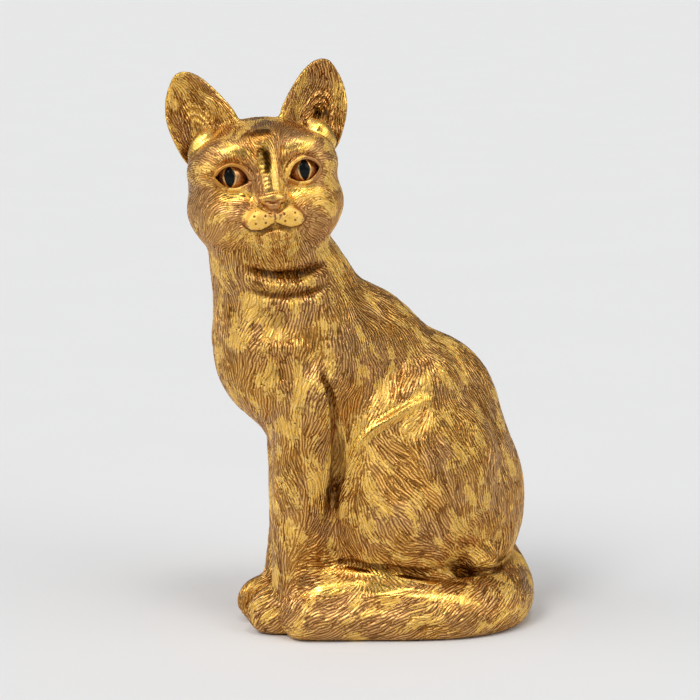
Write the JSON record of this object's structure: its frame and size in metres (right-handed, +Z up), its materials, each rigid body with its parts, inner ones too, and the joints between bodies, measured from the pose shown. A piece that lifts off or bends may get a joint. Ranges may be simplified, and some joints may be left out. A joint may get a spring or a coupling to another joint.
{
  "type": "ceramic cat figurine",
  "caption": "Seated cat figurine in gilded ceramic, head turned to its left, tail wrapped round its side; hollow cast pieces luted together, set eyes, plugged vent and felt pads.",
  "frame": {"origin": "middle of the figure's bounding box, on the surface that it stands on", "axes": "+Z up; the cat's chest faces -Y and its back +Y; its own left side, which the head looks towards and the tail lies along, is +X"},
  "size_m": [0.101, 0.1632, 0.2517],
  "materials": {
    "gilt_body": "carved fur relief, gold leaf over a brown-copper ground, burnished on the high places",
    "gilt_head": "carved fur relief, gold leaf over a brown-copper ground, burnished on the high places",
    "gilt_ear": "carved fur relief, gold leaf over a brown-copper ground, burnished on the high places",
    "gilt_foreleg": "carved fur relief, gold leaf over a brown-copper ground, burnished on the high places",
    "gilt_haunch": "carved fur relief, gold leaf over a brown-copper ground, burnished on the high places",
    "gilt_tail": "carved fur relief, gold leaf over a brown-copper ground, burnished on the high places",
    "eye_enamel": "glossy copper-gold enamel",
    "pupil_enamel": "glossy black enamel",
    "plug_rubber": "matt dark rubber",
    "felt": "brown felt"
  },
  "bodies": {
    "root": {"body_shell": "gilt_body", "head_shell": "gilt_head", "ear_left": "gilt_ear", "ear_right": "gilt_ear", "foreleg_left": "gilt_foreleg", "foreleg_right": "gilt_foreleg", "haunch_left": "gilt_haunch", "haunch_right": "gilt_haunch", "tail": "gilt_tail", "eye_left": "eye_enamel", "eye_right": "eye_enamel", "pupil_left": "pupil_enamel", "pupil_right": "pupil_enamel", "vent_plug": "plug_rubber", "felt_pad_1": "felt", "felt_pad_2": "felt", "felt_pad_3": "felt", "felt_pad_4": "felt"}
  },
  "joints": []
}
